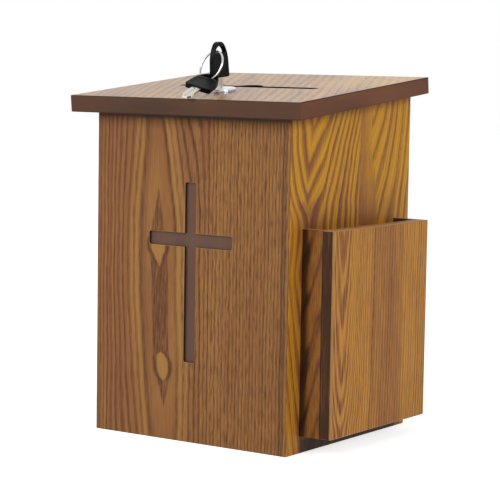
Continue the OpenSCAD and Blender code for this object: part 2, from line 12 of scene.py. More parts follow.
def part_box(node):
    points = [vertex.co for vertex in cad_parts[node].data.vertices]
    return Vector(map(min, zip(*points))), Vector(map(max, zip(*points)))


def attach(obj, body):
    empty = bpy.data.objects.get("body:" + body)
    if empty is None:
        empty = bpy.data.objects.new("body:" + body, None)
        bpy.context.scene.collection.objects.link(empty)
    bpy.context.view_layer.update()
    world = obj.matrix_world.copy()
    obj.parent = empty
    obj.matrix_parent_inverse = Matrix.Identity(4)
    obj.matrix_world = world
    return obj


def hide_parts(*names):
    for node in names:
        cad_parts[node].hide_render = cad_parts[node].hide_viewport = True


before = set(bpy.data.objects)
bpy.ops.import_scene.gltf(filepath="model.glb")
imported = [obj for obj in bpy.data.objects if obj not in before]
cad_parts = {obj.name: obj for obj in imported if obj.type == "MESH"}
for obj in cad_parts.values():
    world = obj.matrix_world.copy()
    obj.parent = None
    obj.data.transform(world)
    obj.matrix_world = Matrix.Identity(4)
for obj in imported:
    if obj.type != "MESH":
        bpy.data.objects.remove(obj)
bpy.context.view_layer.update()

bl_info = {
    "name": "Prayer request box",
    "version": (1, 0, 0),
    "blender": (4, 5, 0),
    "location": "3D View > Sidebar > Request box",
    "description": "Finishes the wooden prayer request box piece by piece",
    "category": "Object",
}

MM = 0.001

# The lid's slope, and how far its grain leans to the left on the way to the rear.
LID_SLOPE = math.radians(5.5)
LID_LEAN = 0.5

# The case at the front, in millimetres from the middle and from the floor.
HALF_WIDTH, HALF_DEPTH, FRONT_HEIGHT = 104, 100, 290
LID_THICKNESS = 15

# The two directions that a finish is laid in, across the grain and along it.
XY, XZ, YZ, ZX, ZY = (0, 1), (0, 2), (1, 2), (2, 0), (2, 1)

# What noise swings about.
MIDDLE = 0.5

# The case's faces, and depths below them: a board's arris, the cross's rim and floor, in metres.
FRONT_FACE, BACK_FACE, SIDE_FACE = -HALF_DEPTH * MM, HALF_DEPTH * MM, HALF_WIDTH * MM
ARRIS_DEPTH, RIM_DEPTH, CROSS_DEPTH = 0.0015, 0.0005, 0.003

# The degrees that an edge turns by at least, and how near two places count as the same, in metres.
SQUARE, BLUNT, EASED, ANY_EDGE = 80, 60, 30, 12
SAME = 0.00001

# The least part of a face's normal that counts as turned to a side, and as straight to it.
TURNED, STRAIGHT = 0.3, 0.9

# Factors for red, green and blue: dark grain lines, painted shade, and a plain wood's fibres.
DEEP_GRAIN = (0.4, 0.38, 0.42)
CORNER_SHADE = (0.11, 0.13, 0.2)
PALE_FIBRE = (1.26, 1.18, 1.05)
DARK_FIBRE = (0.76, 0.8, 0.88)

# The share of the fine texture's relief that shows, and how far it stands out, in metres.
BUMP_STRENGTH = 0.6
VENEER_BUMP = 0.00004
PLAIN_BUMP = 0.00003
METAL_BUMP = 0.00001
PLASTIC_BUMP = 0.00002

# The photo's camera: its place in metres, and its yaw, pitch and roll in degrees.
PHOTO_PLACE = (0.9971, -1.4602, 0.3432)
PHOTO_ANGLES = (34.458, 5.802, -0.916)

# What the camera sees of the floor beside the light that falls on it.
FLOOR_GLOW = (0.7, 0.7, 0.7)

# The front's figure: for a height, the place or the half width across, all in millimetres.
HEART_LEFT = ((0, -43), (46, -48), (94, -51.7), (140, -55.3), (187, -55.9), (227, -53.5),
              (257, -50.8), (290, -49.6))
HEART_RIGHT = ((0, -12.8), (38, -12.2), (74, -12.1), (126, -14.6), (195, -16.7), (224, -20.8),
               (255, -24.9), (290, -32))
PLUME_MIDDLE = ((0, -26), (29, -27), (66, -28.7), (79, -31), (150, -33), (174, -35.2),
                (222, -35.3), (290, -36))
PLUME_HALF = ((0, -12), (22, -3), (29, 0), (52, 6.5), (66, 9.6), (80, 8.9), (150, 9.4), (174, 9.6),
              (188, 7), (204, 4), (224, 0), (290, -20))
EYES_HALF = ((0, -9), (49, -1.5), (52.5, 0.6), (58, 4.4), (66, 6), (74, 4.6), (77.5, 0.6),
             (81, -2), (115, -12), (150, -2), (154, 0), (165, 5.2), (175, 8.2), (180, 6),
             (185, -2), (290, -12))

# For a height on the front: how strong the heart's right edge is, and how red the heart is.
HEART_EDGE = ((0, 0.8), (60, 0.7), (90, 0.45), (150, 0.5), (200, 0.9), (290, 1))
HEART_TONE = ((0, 0.75), (60, 0.6), (120, 0.7), (200, 0.55), (240, 0.7), (290, 0.95))

# For the distance from the heart: the number of rings passed.
RINGS_BESIDE_HEART = ((0, 0), (7.4, 1), (14.5, 2), (21, 3), (27, 4), (32, 5), (36.5, 6), (40.5, 7),
                      (60, 12.2), (120, 29))

# The sides' points and second heart: the middle for a height, the rings for the distance behind
# and before it, and the rings that its lines fall for a height.
POINTS_MIDDLE = ((0, -70), (203, -70), (221, -73), (247, -71.7), (280, -66), (300, -62))
POINTS_BEHIND = ((0, 0), (13, 0.7), (27, 1.4), (33, 2.1), (42, 3.1), (51, 4.2), (60, 5.4),
                 (68, 6.6), (71.4, 7.1), (110, 12))
POINTS_BEFORE = ((0, 0), (10, 0.75), (18, 1.4), (26.4, 2.34), (40, 4))
POINTS_FALL = ((0, 14.3), (203, 3), (221, 2), (247.5, 1), (280, 0), (300, -0.7))
SECOND_MIDDLE = ((0, 29), (207, 29), (250, 32), (300, 31))
SECOND_BEHIND = ((0, 0), (9, 0.42), (15, 0.8), (22, 1.2), (35, 2.4), (48, 3.6), (61, 4.8),
                 (76, 6.2))
SECOND_FALL = ((0, 6.8), (206.7, 2), (250.6, 1), (283, 0), (300, -0.5))

# Where the sides' plain band ends for a height, and the painted shade for the distance below the
# lid.
PLAIN_BAND = ((0, 20), (200, 16), (235, 13), (262, 2), (300, 0))
LID_SHADE = ((0, 0.9), (2, 0.75), (5, 0.3), (10, 0.08), (14, 0), (300, 0))

# The pocket's loops: the rings for the distance from their middle, and their fall for a height.
LOOP_RINGS = ((0, 0), (3, 0.15), (7, 0.6), (11, 1.3), (15, 2.2), (20, 3.4), (40, 8.2), (80, 17.3),
              (146, 33))
LOOP_FALL = ((0, 0), (12, 0), (38, 1), (64, 2), (116, 3), (165, 4), (200, 4.7))


def colour(hexadecimal):
    """A colour written as in a paint list, turned into the renderer's linear values."""
    parts = [int(hexadecimal[i : i + 2], 16) / 255 for i in (0, 2, 4)]
    return tuple(p / 12.92 if p <= 0.04045 else ((p + 0.055) / 1.055) ** 2.4 for p in parts)


def toned(tone, *factors):
    """A colour times one factor, or times one each for its red, green and blue."""
    return [c * k for c, k in zip(tone, factors * (3 // len(factors)))]


def shade(name, text, default):
    return FloatVectorProperty(
        name=name, description=text, subtype="COLOR", size=3, min=0, max=1, default=colour(default)
    )


def length(name, text, default, low, high):
    return FloatProperty(
        name=name, description=text, unit="LENGTH", default=default, min=low, max=high, precision=5
    )


def amount(name, text, default, high):
    return FloatProperty(name=name, description=text, default=default, min=0, max=high)


class BoxWood(bpy.types.PropertyGroup):
    """Colours of the veneers and the plain wood."""

    front_light: shade("Front, light", "Golden wood of the front veneer", "a8783c")
    front_red: shade("Front, red", "Redder wood of the front veneer", "85522f")
    side_light: shade("Side, light", "Yellow wood of the side veneers", "cf9320")
    side_red: shade("Side, red", "Brown wood of the side veneers", "8c5430")
    pocket_light: shade("Pocket, light", "Golden wood of the pocket panel", "c98c38")
    pocket_red: shade("Pocket, red", "Redder wood of the pocket panel", "935b36")
    end_light: shade("Pocket ends, light", "Golden wood of the pocket's end boards", "94602c")
    end_red: shade("Pocket ends, red", "Brown wood of the pocket's end boards", "63402a")
    lid_light: shade("Lid, light", "Golden wood of the lid's top", "d6a03e")
    lid_red: shade("Lid, red", "Redder wood of the lid's top", "885230")
    edge: shade("Front edges", "Satin edges that face the front", "5a3f30")
    # The side edges are warmer and lighter than the front edges: painted light from the right on
    # the same satin edge.
    side_edge_painted_light: shade("Side edges", "Satin edges that face the sides", "683f28")
    pocket_edge: shade("Pocket edges", "Satin edges of the pocket panel", "43291a")
    recess: shade("Cross", "Floor of the routed cross", "5e4030")
    # Arrises and top edges are lighter as a painted highlight where they catch the light; the
    # pocket edges' pale rim takes this colour too.
    arris: shade("Arrises", "Arrises and top edges, lighter as painted highlight", "a87c4c")
    # The pocket's inside is dark as painted shade: the deep, narrow pocket gets little light.
    hollow: shade("Pocket inside", "Painted shade inside the card pocket", "4a3020")
    inside: shade("Inside", "Plain wood inside the case", "b08a5e")
    spline: shade("Splines", "Splines and dowels", "c8a878")
    arris_width: length("Arris", "Rounding of the boards' arrises", 0.00025, 0.0001, 0.001)
    cross_arris: length("Cross arris", "Rounding of the cross's rim", 0.0003, 0.0001, 0.001)
    slot_arris: length("Slot arris", "Rounding of the lid's slot and hole", 0.0003, 0.0001, 0.001)


class BoxMetal(bpy.types.PropertyGroup):
    """Colours and roundings of the metal and plastic pieces."""

    chrome: shade("Chrome", "Chromed face of the lock", "d9dce6")
    zinc: shade("Zinc", "Zinc-plated steel of hinges, strike and screws", "a9abae")
    brass: shade("Brass", "Lock nut", "c9a35a")
    nickel: shade("Nickel", "Key blades", "d6d2c6")
    ring: shade("Ring", "Wire of the key ring", "c9cacc")
    plastic: shade("Plastic", "Heads of the keys", "060609")
    head_round: length("Head rounding", "Rounding of the key heads", 0.0009, 0.0002, 0.0015)


class BoxStage(bpy.types.PropertyGroup):
    """The floor, the light and the camera."""

    floor: shade("Floor", "Pale floor", "eeeeee")
    ambient: amount("Ambient", "Even light from all round", 0.38, 2)
    key_power: amount("Key light", "Soft light before the box, in watts", 26, 200)
    side_power: amount("Side light", "Soft light to the right, in watts", 20, 200)
    lens: FloatProperty(
        name="Lens", description="Focal length", unit="CAMERA", default=139.3, min=20, max=300
    )


class Value:
    """What a node puts out. Sums of such values are written with the usual signs."""

    def __init__(self, wiring, socket):
        self.wiring, self.socket = wiring, socket

    def __add__(self, other):
        return self.wiring.math("ADD", self, other)

    def __radd__(self, other):
        return self.wiring.math("ADD", other, self)

    def __sub__(self, other):
        return self.wiring.math("SUBTRACT", self, other)

    def __rsub__(self, other):
        return self.wiring.math("SUBTRACT", other, self)

    def __mul__(self, other):
        return self.wiring.math("MULTIPLY", self, other)

    def __truediv__(self, other):
        return self.wiring.math("DIVIDE", self, other)

    def __neg__(self):
        return self * -1

    def __abs__(self):
        return self.wiring.math("ABSOLUTE", self)


class Wiring:
    """Adds nodes to one node tree and joins them."""

    def __init__(self, tree):
        self.tree = tree

    def node(self, kind, **settings):
        made = self.tree.nodes.new(kind)
        for key, value in settings.items():
            setattr(made, key, value)
        return made

    def feed(self, socket, value):
        """Joins a value to a socket, or writes a number or a colour into it."""
        if isinstance(value, Value):
            value = value.socket
        if isinstance(value, bpy.types.NodeSocket):
            self.tree.links.new(value, socket)
        elif hasattr(value, "__len__") and len(value) == 3 and len(socket.default_value) == 4:
            socket.default_value = (*value, 1)
        else:
            socket.default_value = value

    def math(self, operation, *values, clamp=False):
        made = self.node("ShaderNodeMath", operation=operation, use_clamp=clamp)
        for socket, value in zip(made.inputs, values):
            self.feed(socket, value)
        return Value(self, made.outputs[0])

    def most(self, *values):
        """The largest of several values."""
        result = values[0]
        for value in values[1:]:
            result = self.math("MAXIMUM", result, value)
        return result

    def step(self, value, start, end, low=0.0, high=1.0, kind="SMOOTHSTEP"):
        """Goes from low to high while the value goes from start to end."""
        made = self.node("ShaderNodeMapRange", interpolation_type=kind)
        for socket, given in zip(made.inputs, (value, start, end, low, high)):
            self.feed(socket, given)
        return Value(self, made.outputs[0])

    def mix(self, factor, first, second):
        """The first colour, with a share of the second."""
        made = self.node("ShaderNodeMix", data_type="RGBA")
        for name, given in (("Factor_Float", factor), ("A_Color", first), ("B_Color", second)):
            self.feed(next(s for s in made.inputs if s.identifier == name), given)
        return Value(self, next(s for s in made.outputs if s.identifier == "Result_Color"))

    def curve(self, value, *points):
        """A smooth line through points given as (value, result)."""
        made = self.node("ShaderNodeFloatCurve")
        (start, _), (end, _) = points[0], points[-1]
        low, high = min(p[1] for p in points), max(p[1] for p in points)
        line = made.mapping.curves[0]
        for spot, (_, result) in zip(line.points, (points[0], points[-1])):
            spot.location[1] = (result - low) / (high - low)
        for given, result in points[1:-1]:
            line.points.new((given - start) / (end - start), (result - low) / (high - low))
        made.mapping.update()
        self.feed(made.inputs["Value"], self.step(value, start, end, kind="LINEAR"))
        return self.step(made.outputs[0], 0, 1, low, high, "LINEAR")

    def noise(self, vector, scale, detail=2.0, rough=0.5):
        made = self.node("ShaderNodeTexNoise")
        self.feed(made.inputs["Vector"], vector)
        for name, value in (("Scale", scale), ("Detail", detail), ("Roughness", rough)):
            made.inputs[name].default_value = value
        return Value(self, made.outputs[0])

    def place(self, x, y, z):
        made = self.node("ShaderNodeCombineXYZ")
        for socket, value in zip(made.inputs, (x, y, z)):
            self.feed(socket, value)
        return Value(self, made.outputs[0])

    def spots(self):
        """The piece's own coordinates, in millimetres."""
        mapping = self.node("ShaderNodeMapping", vector_type="POINT")
        self.feed(mapping.inputs["Vector"], self.node("ShaderNodeTexCoord").outputs["Object"])
        mapping.inputs["Scale"].default_value = (1 / MM,) * 3
        parts = self.node("ShaderNodeSeparateXYZ")
        self.feed(parts.inputs[0], mapping.outputs[0])
        return [Value(self, socket) for socket in parts.outputs]

    def surface(self, shader, tone, rough, relief, depth):
        """Gives a shader its colour, its roughness, and a relief of a depth in metres."""
        self.feed(shader.inputs["Base Color"], tone)
        self.feed(shader.inputs["Roughness"], rough)
        made = self.node("ShaderNodeBump")
        made.inputs["Strength"].default_value = BUMP_STRENGTH
        made.inputs["Distance"].default_value = depth
        self.feed(made.inputs["Height"], relief)
        self.feed(shader.inputs["Normal"], made.outputs[0])

    def group(self, tree, **values):
        """Places a node group, and gives its outputs by name."""
        made = self.node("ShaderNodeGroup", node_tree=tree)
        for key, value in values.items():
            self.feed(made.inputs[key.replace("_", " ").capitalize()], value)
        return {socket.name: Value(self, socket) for socket in made.outputs}


def new_group(name, outputs, **inputs):
    """An empty node group with named float outputs and inputs, and the inputs' defaults."""
    tree = bpy.data.node_groups.new(name, "ShaderNodeTree")
    for label, default in inputs.items():
        label = label.replace("_", " ").capitalize()
        made = tree.interface.new_socket(name=label, in_out="INPUT", socket_type="NodeSocketFloat")
        made.default_value = default
    for label in outputs:
        tree.interface.new_socket(name=label, in_out="OUTPUT", socket_type="NodeSocketFloat")
    w = Wiring(tree)
    given = {socket.name: Value(w, socket) for socket in w.node("NodeGroupInput").outputs}
    return w, given, w.node("NodeGroupOutput").inputs


def swell_group():
    """A smooth hump of a given height and reach along the grain."""
    w, given, out = new_group("Swell", ["Rise"], along=0, centre=0, reach=10, height=1)
    far = (given["Along"] - given["Centre"]) / given["Reach"]
    bell = w.math("EXPONENT", -(far * far))
    w.feed(out["Rise"], bell * given["Height"])
    return w.tree


def waver_group():
    """A slow and a quick wander of the grain about zero, as far as Slow and Quick say."""
    w, given, out = new_group("Waver", ["Shift"], across=0, along=0, slow=1, quick=0.3, seed=0)
    parts = []
    for across, along, reach, detail in ((0.03, 0.012, "Slow", 1), (0.22, 0.05, "Quick", 2)):
        spot = w.place(given["Across"] * across, given["Along"] * along, given["Seed"])
        parts.append((w.noise(spot, 1, detail) - MIDDLE) * given[reach])
    w.feed(out["Shift"], parts[0] + parts[1])
    return w.tree


def bands_group():
    """Light wood, brown wood and the thin dark line of each ring, from the ring count."""
    w, given, out = new_group(
        "Ring bands", ["Early", "Line", "Tone"], rings=0, light=0.5, thin=0.12, soft=0.1, seed=0
    )
    count = w.math("FLOOR", given["Rings"])
    part = w.math("FRACT", given["Rings"])

    def dice(seed):
        made = w.node("ShaderNodeTexWhiteNoise", noise_dimensions="2D")
        w.feed(made.inputs["Vector"], w.place(count, seed, 0))
        return Value(w, made.outputs["Value"])

    tone, width = dice(given["Seed"]), dice(given["Seed"] + 40)
    share = given["Light"] * w.step(width, 0, 1, 0.7, 1.3, "LINEAR")
    ends = w.step(part, share, share + given["Soft"], 1, 0)
    w.feed(out["Early"], 1 - w.step(part, 0, given["Soft"] * 0.7) * ends)
    line = w.step(part, 1 - given["Thin"] * 2, 1 - given["Thin"] * 0.5)
    w.feed(out["Line"], line * w.step(tone, 0, 1, 0.45, 1, "LINEAR"))
    w.feed(out["Tone"], tone)
    return w.tree


def pores_group():
    """Short dark pores, drawn out along the grain."""
    w, given, out = new_group(
        "Pores", ["Pore"], across=0, along=0, width=1, length=9, share=0.45, seed=0
    )
    spot = w.place(given["Across"] / given["Width"], given["Along"] / given["Length"],
                   given["Seed"])
    level = w.noise(spot, 1, 1.5, 0.6)
    w.feed(out["Pore"], w.step(level, 0.86 - given["Share"], 1.04 - given["Share"]))
    return w.tree


def fibre_group():
    """Fine fibres and slow changes of tone along the grain, both about zero."""
    w, given, out = new_group("Fibre", ["Fine", "Broad"], across=0, along=0, size=0.7, seed=0)
    fine = w.place(given["Across"] / given["Size"], given["Along"] * 0.03, given["Seed"])
    broad = w.place(given["Across"] * 0.05, given["Along"] * 0.006, given["Seed"])
    w.feed(out["Fine"], w.noise(fine, 1, 3, 0.65) - MIDDLE)
    w.feed(out["Broad"], w.noise(broad, 1, 1) - MIDDLE)
    return w.tree


def handling_group():
    """Fine scuffs and soft smears on metal and plastic that are handled."""
    w, given, out = new_group("Handling", ["Scuff", "Smear"], scuff_size=0.4, smear_size=6)
    in_mm = w.node("ShaderNodeVectorMath", operation="SCALE")
    w.feed(in_mm.inputs[0], w.node("ShaderNodeTexCoord").outputs["Object"])
    in_mm.inputs["Scale"].default_value = 1 / MM

    def sized(x, y, z):
        made = w.node("ShaderNodeVectorMath", operation="DIVIDE")
        w.feed(made.inputs[0], in_mm.outputs[0])
        w.feed(made.inputs[1], w.place(x, y, z))
        return made.outputs[0]

    scuff, smear = given["Scuff size"], given["Smear size"]
    w.feed(out["Scuff"], w.step(w.noise(sized(scuff, scuff * 6, scuff), 1, 3, 0.6), 0.52, 0.75))
    w.feed(out["Smear"], w.noise(sized(smear, smear, smear), 1, 2))
    return w.tree


class Finishes:
    """Materials and shared node groups, made at the first call."""

    ready = None

    @classmethod
    def of(cls, scene):
        """The finishes in the scene's colours."""
        if cls.ready is None:
            cls.ready = cls(scene.box_wood, scene.box_metal)
            cls.ready.make_all()
        return cls.ready

    def __init__(self, wood, metal):
        self.wood, self.metal = wood, metal
        self.swell, self.waver, self.bands = swell_group(), waver_group(), bands_group()
        self.pores, self.fibre, self.handling = pores_group(), fibre_group(), handling_group()
        self.made = {}

    def start(self, name, roughness, metallic=0.0, specular=0.5):
        """The wiring and the shader of a new material, with the numbers that hold all over."""
        made = bpy.data.materials.new(name)
        made.use_nodes = True
        tree = made.node_tree
        shader = next(n for n in tree.nodes if n.type == "BSDF_PRINCIPLED")
        shader.inputs["Roughness"].default_value = roughness
        shader.inputs["Metallic"].default_value = metallic
        shader.inputs["Specular IOR Level"].default_value = specular
        self.made[name] = made
        return Wiring(tree), shader

    def veneer(self, name, light, red, axes, figure, seed, pores=(1.2, 14, 0.42, 0.8),
               roughness=0.45, specular=0.22, fibre=0.5, broken=0.35, gap=3.5, lean=0.0):
        """A veneer with the pattern that figure(w, u, v) gives for each place on the sheet.

        The figure gives the share of red wood, the dark lines, how porous the wood is, and the
        painted shade on it. Pores have a width, a length, a number and a strength. Broken is what
        is left of a dark line where it fades, gap is how often it does so, and lean is the grain's
        slant.
        """
        w, shader = self.start(name, roughness, specular=specular)
        place = w.spots()
        u, v = place[axes[0]], place[axes[1]]
        if lean:
            u = u + v * lean
        share, line, porous, shadow = figure(w, u, v)
        width, reach, count, strength = pores
        fine = w.group(self.fibre, across=u, along=v, size=1.1, seed=seed)
        pore = w.group(self.pores, across=u, along=v, width=width, length=reach, share=count,
                       seed=seed)["Pore"]
        level = share + fine["Fine"] * (fibre * 2) + fine["Broad"] * 0.9
        body = w.mix(w.math("MULTIPLY", level, 1, clamp=True), light, red)
        gaps = w.group(self.fibre, across=u, along=v * gap, size=1.6, seed=seed + 20)["Fine"]
        streak = w.step(gaps, -0.16, 0.12, broken, 1.1)
        marks = w.math("MULTIPLY", w.most(line * streak, pore * porous * strength), 1, clamp=True)
        grain = w.mix(marks, body, toned(red, *DEEP_GRAIN))
        if isinstance(shadow, Value):
            grain = w.mix(shadow, grain, toned(red, *CORNER_SHADE))
        rough = w.step(marks, 0, 1, roughness - 0.04, roughness + 0.12, "LINEAR")
        w.surface(shader, grain, rough, fine["Fine"] - marks, VENEER_BUMP)

    def wander(self, w, across, along, **reach):
        """How far the grain strays at a place, about zero, with a slow and a quick reach."""
        return w.group(self.waver, across=across, along=along, **reach)["Shift"]

    def rings(self, w, number, **shape):
        """The bands of light and brown wood and the dark lines, from the ring count."""
        return w.group(self.bands, rings=number, **shape)

    def bell(self, w, value, centre, reach, height=1.0):
        """A smooth hump about a centre, which falls off within its reach."""
        return w.group(self.swell, along=value, centre=centre, reach=reach, height=height)["Rise"]

    def front_figure(self, w, x, z):
        """The front's figure: a tall heart left of the middle, with a diamond and an eye in it."""
        x = x + self.wander(w, x, z, slow=2.2, quick=0.7, seed=3)
        left = w.curve(z, *HEART_LEFT) - x
        right = x - w.curve(z, *HEART_RIGHT)
        edges = []
        for near, straight in ((left, -52 - x), (right, x + 16)):
            edges.append(near + (straight - near) * w.step(straight, 5, 42))
        beyond = w.most(*edges)
        outside = w.step(beyond, -0.5, 0.5)
        number = w.curve(beyond, *RINGS_BESIDE_HEART)
        number = number + self.wander(w, x, z, slow=0.5, quick=0.3, seed=8)
        seed = w.step(right, 0, 1, 5, 6)
        bands = self.rings(w, number, thin=0.24, soft=0.3, seed=seed)
        aside = abs(x - w.curve(z, *PLUME_MIDDLE))
        plume = w.curve(z, *PLUME_HALF)
        light = w.curve(z, *EYES_HALF)
        inner = w.step(light - aside, -1, 1)
        rim = self.bell(w, light - aside, -2.6, 2.4, 1.1) * w.step(light, -1.5, 1)
        fine = w.group(self.fibre, across=x, along=z * 2.2, size=0.8, seed=7)["Fine"]
        dark = w.step(plume - aside, -1, 1.2) * (1 - inner)
        dark = dark * (fine * 2.6 + 0.85)
        edge = w.most(self.bell(w, left, -1.5, 3.2, 0.8), self.bell(w, left, -6, 1.5, 0.35),
                      self.bell(w, right, -0.5, 2.3) * w.curve(z, *HEART_EDGE))
        line = w.most(bands["Line"] * outside, w.most(dark, rim))
        line = w.most(line, edge)
        far = w.step(beyond, 5, 18, 0.45, 1) * w.step(x, -60, -20, 0.85, 0.5)
        ring = (bands["Tone"] + bands["Early"] - 1) * w.step(right, 0, 30, 0.35, 0.2)
        out = (far + ring) * outside
        within = w.curve(z, *HEART_TONE) * (1 - outside)
        share = (out + within) * (1 - inner)
        porous = bands["Early"] * 0.6 + w.step(x, -20, 10, 0.25, 0.75)
        porous = porous * w.step(beyond, -6, 2, 0.25, 1)
        # A darker band by the front's right-hand edge, and painted shade under the lid's overhang.
        corner = w.step(x, 94, 96.5, 0, 0.42) * w.step(x, 99.5, 101.5, 1, 0)
        rise = (w.spots()[1] + HALF_DEPTH) * math.tan(LID_SLOPE)
        shadow = w.most(corner, w.step(z - rise, 282.5, 287.5) * 0.93)
        return share, line, porous, shadow

    def side_figure(self, w, y, z):
        """The sides' figure: points that face down, and a second heart behind a plain band."""
        y = y + self.wander(w, y, z, slow=2, quick=1, seed=2)
        u = y - w.curve(z, *POINTS_MIDDLE)
        right = w.curve(u, *POINTS_BEHIND)
        left = w.curve(-u, *POINTS_BEFORE)
        fall = w.curve(z, *POINTS_FALL)
        first = right + left + fall * (w.step(u, 30, 75, 1, 0.5) * w.step(z, 150, 220, 0.4, 1))
        v = y - w.curve(z, *SECOND_MIDDLE)
        right = w.curve(v, *SECOND_BEHIND)
        left = w.most(-v, 0) * 0.3
        fall = w.curve(z, *SECOND_FALL)
        second = right + left + fall * w.step(v, 20, 50, 1, 0.5)
        behind = w.math("GREATER_THAN", y, 20)
        number = first * (1 - behind) + (second + 20) * behind
        bands = self.rings(w, -number, thin=0.12, soft=0.34, seed=9)
        fine = self.rings(w, number * -2.7, thin=0.2, soft=0.3, seed=3)
        wide = y - w.curve(z, *PLAIN_BAND)
        plain = w.step(y, 9, 14) * w.step(wide, 22, 32, 1, 0)
        early = w.most(bands["Early"] * w.step(y, 18, 22, 1, 0.85), plain * 0.92)
        line = w.most(bands["Line"] * 0.7, fine["Line"] * 0.42)
        line = line * (1 - plain * 0.9)
        low = w.step(z, 195, 245, 0.25, 0) * w.step(y, -92, -78, 0.2, 1)
        low = low + w.step(z, 214, 223, 0.4, 0) * self.bell(w, u, 0, 22)
        strip = w.step(y, -92, -78, 1, 0) * w.step(z, 200, 230, 1, 0)
        early = early * (1 - strip * 0.6)
        share = early * 0.7 + low + strip * 0.12
        # Painted shade on the right side's foot below the pocket, and painted shade under the lid.
        below_pocket = w.step(y, -84, -72) * w.step(y, 80, 90, 1, 0)
        shade_under_pocket = w.step(z, 10, 17, 0.93, 0) * (below_pocket * w.step(w.spots()[0], 0, 1))
        under = (y + HALF_DEPTH) * math.tan(LID_SLOPE) + FRONT_HEIGHT - z
        shadow = w.most(shade_under_pocket, w.curve(under, *LID_SHADE))
        return share, line, early * (1 - plain * 0.7), shadow

    def pocket_figure(self, w, y, z):
        """The pocket panel's figure: narrow loops that point down, fine lines, a redder zone."""
        y = y + self.wander(w, y, z, slow=2, quick=0.8, seed=6)
        u = abs(y + 65)
        fall = w.curve(z, *LOOP_FALL) * w.step(u, 12, 40, 1, 0.25)
        number = w.curve(u, *LOOP_RINGS) - fall
        bands = self.rings(w, number, thin=0.28, soft=0.35, seed=1)
        heart = w.step(u, 11, 17, 1, 0)
        red = w.step(y, -21, -18, 0, 0.55) + w.step(y, -18, 6, 0, 0.45)
        red = red * w.step(y, 36, 37.5, 1, 0)
        calm = 1 - w.step(y, -5, 12) * 0.15
        loop = bands["Early"] * heart * 0.75
        share = loop + red * 0.6 + w.step(y, 36, 37.5) * 0.05 + w.step(y, -90, -35, -0.15, 0)
        stripe = w.most(self.bell(w, y, -13, 1.1, 0.65), self.bell(w, y, -16.5, 0.8, 0.3))
        fine = bands["Line"] * calm * (1 - heart * 0.85)
        # The last value is painted shade along the panel's bottom, near the floor.
        return share, w.most(fine, stripe), (loop + 0.45) * calm, w.step(z, 4, 9, 0.3, 0)

    def end_figure(self, w, x, z):
        """The pocket's end boards: slanting golden figure, painted shade in the corner by the wall.
        """
        z = z + self.wander(w, x * 4, z, slow=26, quick=5, seed=7)
        number = (z - (x - HALF_WIDTH) * 3) / 47
        bands = self.rings(w, number + 0.55, light=0.55, thin=0.06, soft=0.3, seed=2)
        # Painted shade in the corner where the end board meets the case's wall.
        corner = w.step(x - bands["Early"] * 2.5, 107.5, 113, 1, 0)
        return bands["Early"] * 0.7, bands["Line"] * 0.6, 0.4, corner * 0.8

    def pocket_edge_figure(self, w, x, z):
        """The pocket panel's edges: a dark core, and the veneer's pale rim at the outer side."""
        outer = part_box("pocket_panel")[1][0] / MM
        core = w.step(x, outer - 2.3, outer - 1.8, 1, 0)
        return core, self.bell(w, x, outer - 2.6, 0.6, 0.6), 0.2, 0.0

    def lid_figure(self, w, u, y):
        """The lid's figure: soft lines that lean to the left, and a golden rear right corner."""
        x = u - y * LID_LEAN
        u = u + self.wander(w, u, y, slow=7, quick=1.5, seed=12)
        coarse = self.rings(w, u / 9, thin=0.2, soft=0.5, seed=6)
        close = self.rings(w, u / 4.3, thin=0.25, soft=0.5, seed=4)
        golden = w.step(x, 0, 80) * w.step(y, -60, 60)
        plain = w.step(golden, 0, 1, 1, 0.25)
        patch = self.wander(w, u * 1.6, y, slow=0.7, quick=0.3, seed=15)
        early = coarse["Early"] * 0.17 + close["Early"] * 0.12
        share = (early + patch + 0.46) * plain
        line = coarse["Line"] * 0.22 + close["Line"] * 0.16
        return share, line * plain, coarse["Early"] * 0.5, 0.0

    def plain_wood(self, name, tone, roughness, axes, contrast=0.5, specular=0.35, stray=0.0):
        """Plain straight-grained wood with fine fibres, whose tone may stray slowly."""
        w, shader = self.start(name, roughness, specular=specular)
        place = w.spots()
        u, v = place[axes[0]], place[axes[1]]
        fine = w.group(self.fibre, across=u, along=v, size=0.5, seed=4)
        level = fine["Fine"] * contrast + fine["Broad"] * (2.4 * contrast)
        if stray:
            level = level + self.wander(w, u, v, slow=stray, quick=0.3, seed=9)
        level = w.math("ADD", level, MIDDLE, clamp=True)
        body = w.mix(level, toned(tone, *PALE_FIBRE), toned(tone, *DARK_FIBRE))
        rough = w.step(level, 0, 1, roughness - 0.05, roughness + 0.08, "LINEAR")
        w.surface(shader, body, rough, fine["Fine"], PLAIN_BUMP)

    def metal_finish(self, name, tone, roughness, scuff=0.12, smear=0.06):
        """Plated metal with scuffs and smears in its gloss."""
        w, shader = self.start(name, roughness, metallic=1.0)
        marks = w.group(self.handling, scuff_size=0.35, smear_size=5)
        body = w.mix(marks["Scuff"] * 0.35, tone, toned(tone, 0.72))
        rough = roughness + marks["Scuff"] * scuff + marks["Smear"] * smear
        w.surface(shader, body, rough, marks["Scuff"], METAL_BUMP)

    def moulded(self, name, tone, roughness):
        """Moulded plastic with a fine satin texture."""
        w, shader = self.start(name, roughness, specular=0.085)
        marks = w.group(self.handling, scuff_size=0.3, smear_size=7)
        body = w.mix(marks["Scuff"] * 0.5, tone, [min(1, c * 1.5 + 0.004) for c in tone])
        rough = roughness - 0.04 + marks["Smear"] * 0.12
        w.surface(shader, body, rough, marks["Scuff"], PLASTIC_BUMP)

